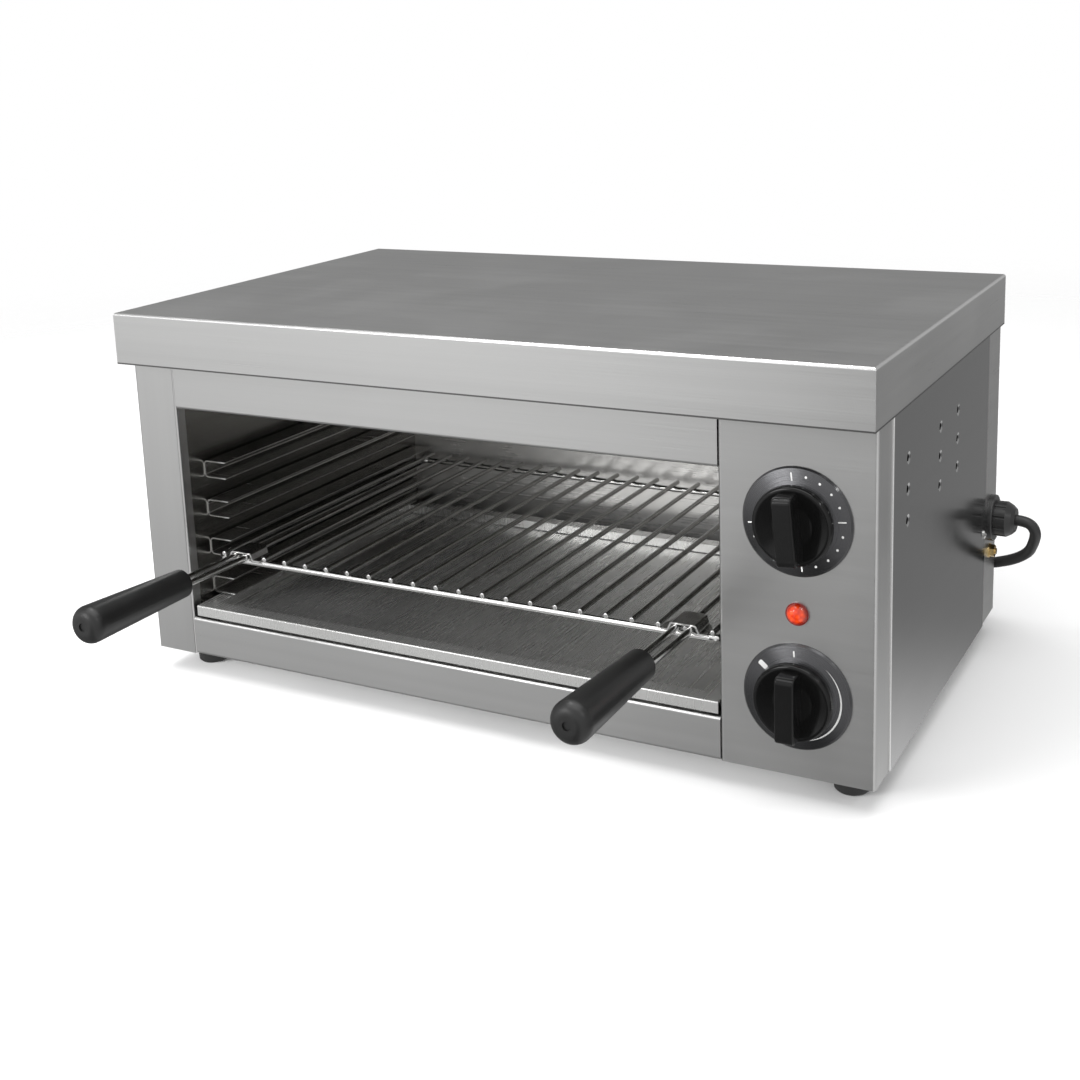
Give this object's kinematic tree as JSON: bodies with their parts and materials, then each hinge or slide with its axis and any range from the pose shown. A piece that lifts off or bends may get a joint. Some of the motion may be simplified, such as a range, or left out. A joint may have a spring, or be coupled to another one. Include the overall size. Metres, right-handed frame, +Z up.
{
  "type": "cheese melter",
  "caption": "Countertop electric cheese melter: open-front stainless casing, roof heating elements, sliding wire rack with handles, crumb tray, timer and heat knobs.",
  "frame": {"origin": "on the counter, at the centre of the plan box of the object without its cord", "axes": "+Z up; the open front and the handles face -Y; the controls are toward +X"},
  "size_m": [0.6481, 0.6682, 0.305],
  "materials": {
    "stainless": "satin, fine brushing",
    "chamber_steel": "dull, heat-tinted",
    "element_sheath": "dark oxidised",
    "tray_steel": "satin",
    "rack_chrome": "bright plating",
    "bakelite": "semi-gloss black",
    "dial_black": "gloss dark grey with white marks",
    "lamp_red": "clear gloss red",
    "foot_rubber": "matt black",
    "cord_rubber": "matt black",
    "plug_rubber": "matt black",
    "gland_black": "semi-gloss black",
    "stud_brass": "bright",
    "pin_brass": "bright",
    "screw_steel": "bright",
    "shaft_steel": "turned",
    "control_case": "moulded",
    "block_white": "moulded",
    "wire_insulation": "silicone sleeve",
    "tie_plastic": "matt black"
  },
  "bodies": {
    "casing": {"top_cover": "stainless", "left_side_panel": "stainless", "right_side_panel": "stainless", "header_panel": "stainless", "control_panel": "stainless", "front_sill": "stainless", "back_panel": "stainless", "base_pan": "stainless", "chamber_left_wall": "chamber_steel", "chamber_right_wall": "chamber_steel", "chamber_back_wall": "chamber_steel", "reflector_roof": "chamber_steel", "element_hangers": "chamber_steel", "tray_runner_left": "chamber_steel", "tray_runner_right": "chamber_steel", "rack_guide_left_1": "chamber_steel", "rack_guide_left_2": "chamber_steel", "rack_guide_left_3": "chamber_steel", "rack_guide_left_4": "chamber_steel", "rack_guide_right_1": "chamber_steel", "rack_guide_right_2": "chamber_steel", "rack_guide_right_3": "chamber_steel", "rack_guide_right_4": "chamber_steel", "foot_front_left": "foot_rubber", "foot_front_right": "foot_rubber", "foot_rear_left": "foot_rubber", "foot_rear_right": "foot_rubber", "heating_element_front": "element_sheath", "heating_element_rear": "element_sheath", "timer_body": "control_case", "heat_control_body": "control_case", "timer_dial": "dial_black", "heat_dial": "dial_black", "pilot_lens": "lamp_red", "pilot_holder": "control_case", "terminal_block": "block_white", "internal_wiring": "wire_insulation", "gland_body": "gland_black", "gland_dome_nut": "gland_black", "gland_locknut": "gland_black", "earth_stud": "stud_brass", "body_screws": "screw_steel", "supply_cord": "cord_rubber", "cord_coil": "cord_rubber", "cord_tie": "tie_plastic", "plug_body": "plug_rubber", "plug_pins": "pin_brass"},
    "rack": {"rack_frame": "rack_chrome", "rack_wires": "rack_chrome", "handle_bracket_left": "rack_chrome", "handle_bracket_right": "rack_chrome", "handle_rods_left": "rack_chrome", "handle_rods_right": "rack_chrome", "handle_grip_left": "bakelite", "handle_grip_right": "bakelite"},
    "crumb_tray": {"crumb_tray": "tray_steel"},
    "timer_knob": {"timer_knob": "bakelite", "timer_shaft": "shaft_steel"},
    "heat_knob": {"heat_knob": "bakelite", "heat_control_shaft": "shaft_steel"}
  },
  "joints": [
    {"name": "rack_slide", "type": "slide", "parent": "casing", "child": "rack", "axis": [0, -1, 0], "range_m": [0, 0.26]},
    {"name": "tray_slide", "type": "slide", "parent": "casing", "child": "crumb_tray", "axis": [0, -1, 0], "range_m": [0, 0.27]},
    {"name": "timer_turn", "type": "hinge", "parent": "casing", "child": "timer_knob", "pos_m": [0.2503, -0.1, 0.1969], "axis": [0, 1, 0], "range_deg": [0, 270]},
    {"name": "heat_turn", "type": "hinge", "parent": "casing", "child": "heat_knob", "pos_m": [0.2503, -0.1, 0.0769], "axis": [0, 1, 0], "range_deg": [0, 320]}
  ]
}
